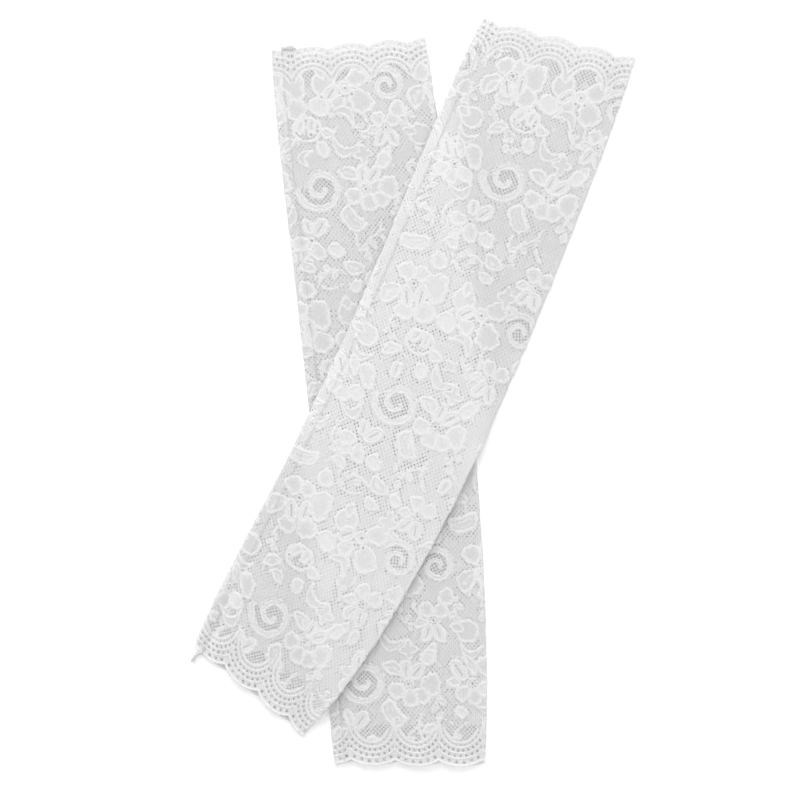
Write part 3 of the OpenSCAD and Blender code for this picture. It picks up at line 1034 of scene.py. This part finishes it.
# --- Camera, light and floor -------------------------------------------------------------------
# The floor's rings in metres, as radius and height: flat, then swept up behind everything
SWEEP = ((4.6, 0.0), (5.0, 0.0), (6.0, 0.06), (6.6, 0.3), (6.9, 0.8), (7.0, 1.6))
SWEEP_SIDES = 96
# The camera looks straight down at VIEW_AT and sees VIEW_W metres of the surface
VIEW_AT = (-0.0085, -0.0046)
VIEW_W = 0.4444
LENS, SENSOR = 100, 36
# The paper brightens by itself from GLOW_FROM to GLOW_TO metres out, where less light reaches it
GLOW = 0.75
GLOW_FROM = 0.6
GLOW_TO = 1.8
SKY_LIGHT = 0.53


def area_light(name, at, size, power):
    """A round lamp turned towards the gloves."""
    data = bpy.data.lights.new(name, "AREA")
    data.shape = "DISK"
    data.size = size
    data.energy = power
    light = bpy.data.objects.new(name, data)
    bpy.context.scene.collection.objects.link(light)
    light.location = at
    light.rotation_euler = (-Vector(at)).to_track_quat("-Z", "Y").to_euler()


def studio():
    """Camera, paper sweep, two lamps and an even sky."""
    scene = bpy.context.scene
    camera_data = bpy.data.cameras.new("camera")
    camera = bpy.data.objects.new("camera", camera_data)
    scene.collection.objects.link(camera)
    camera_data.lens = LENS
    camera_data.sensor_width = SENSOR
    camera.location = (*VIEW_AT, VIEW_W * LENS / SENSOR)
    scene.camera = camera
    turn = np.arange(SWEEP_SIDES) * 2 * math.pi / SWEEP_SIDES
    rings = [np.stack([r * np.cos(turn), r * np.sin(turn), np.full(SWEEP_SIDES, z)], 1)
             for r, z in SWEEP]
    around = np.arange(len(SWEEP) * SWEEP_SIDES).reshape(len(SWEEP), -1)
    after = np.roll(around, -1, axis=1)
    walls = np.stack([around[:-1], around[1:], after[1:], after[:-1]], -1).reshape(-1, 4)
    floor = new_mesh("floor", np.concatenate(rings), [around[:1], walls])
    paper = bpy.data.materials.new("pale_floor")
    paper.use_nodes = True
    tree = paper.node_tree
    shader = tree.nodes["Principled BSDF"]
    shader.inputs["Base Color"].default_value = (0.97, 0.97, 0.97, 1)
    shader.inputs["Roughness"].default_value = 0.8
    shader.inputs["Emission Color"].default_value = (1, 1, 1, 1)
    where = tree.nodes.new("ShaderNodeTexCoord")
    away = tree.nodes.new("ShaderNodeVectorMath")
    away.operation = "LENGTH"
    glow = tree.nodes.new("ShaderNodeMapRange")
    glow.inputs["From Min"].default_value = GLOW_FROM
    glow.inputs["From Max"].default_value = GLOW_TO
    glow.inputs["To Max"].default_value = GLOW
    tree.links.new(where.outputs["Object"], away.inputs[0])
    tree.links.new(away.outputs["Value"], glow.inputs["Value"])
    tree.links.new(glow.outputs["Result"], shader.inputs["Emission Strength"])
    floor.data.materials.append(paper)
    area_light("key", (-0.45, 1.85, 1.9), size=2.2, power=47)
    area_light("top", (0.5, 0.2, 3.0), size=3.2, power=33)
    world = bpy.data.worlds.new("world")
    scene.world = world
    world.use_nodes = True
    world.node_tree.nodes["Background"].inputs["Color"].default_value = (1, 1, 1, 1)
    world.node_tree.nodes["Background"].inputs["Strength"].default_value = SKY_LIGHT
    scene.view_settings.view_transform = "Standard"


studio()
lace_white = thread_material("lace_white", dark=(0.765, 0.765, 0.765, 1),
                             light=(0.90, 0.90, 0.90, 1), scale=900, depth=0.3, rough=0.75)
seam_white = thread_material("seam_white", dark=(0.84, 0.84, 0.845, 1),
                             light=(0.90, 0.90, 0.905, 1), scale=1500, depth=0.4, rough=0.7)
make_glove(LOWER, lace_white, seam_white, seed=3)
make_glove(UPPER, lace_white, seam_white, seed=11)
